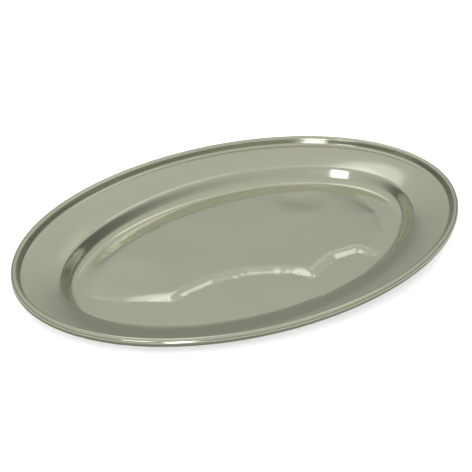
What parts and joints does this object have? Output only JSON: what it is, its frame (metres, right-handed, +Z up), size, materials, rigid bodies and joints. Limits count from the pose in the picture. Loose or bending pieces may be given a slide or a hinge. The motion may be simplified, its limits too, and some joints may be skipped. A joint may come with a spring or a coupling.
{
  "type": "serving tray",
  "caption": "Shallow oval serving tray in pressed stainless steel, with a wide sloping flange, a flat floor and a rolled rim stiffened by a wire.",
  "frame": {"origin": "middle of the flat underside, where the tray stands", "axes": "+X along the tray's length, +Y across its width, +Z up out of the well"},
  "size_m": [0.35, 0.238, 0.023],
  "materials": {
    "tray_sheet": "satin-bright stainless steel with fine wear marks",
    "rim_wire": "plain drawn stainless steel wire"
  },
  "bodies": {
    "root": {"pressed_tray": "tray_sheet", "rim_wire": "rim_wire"}
  },
  "joints": []
}
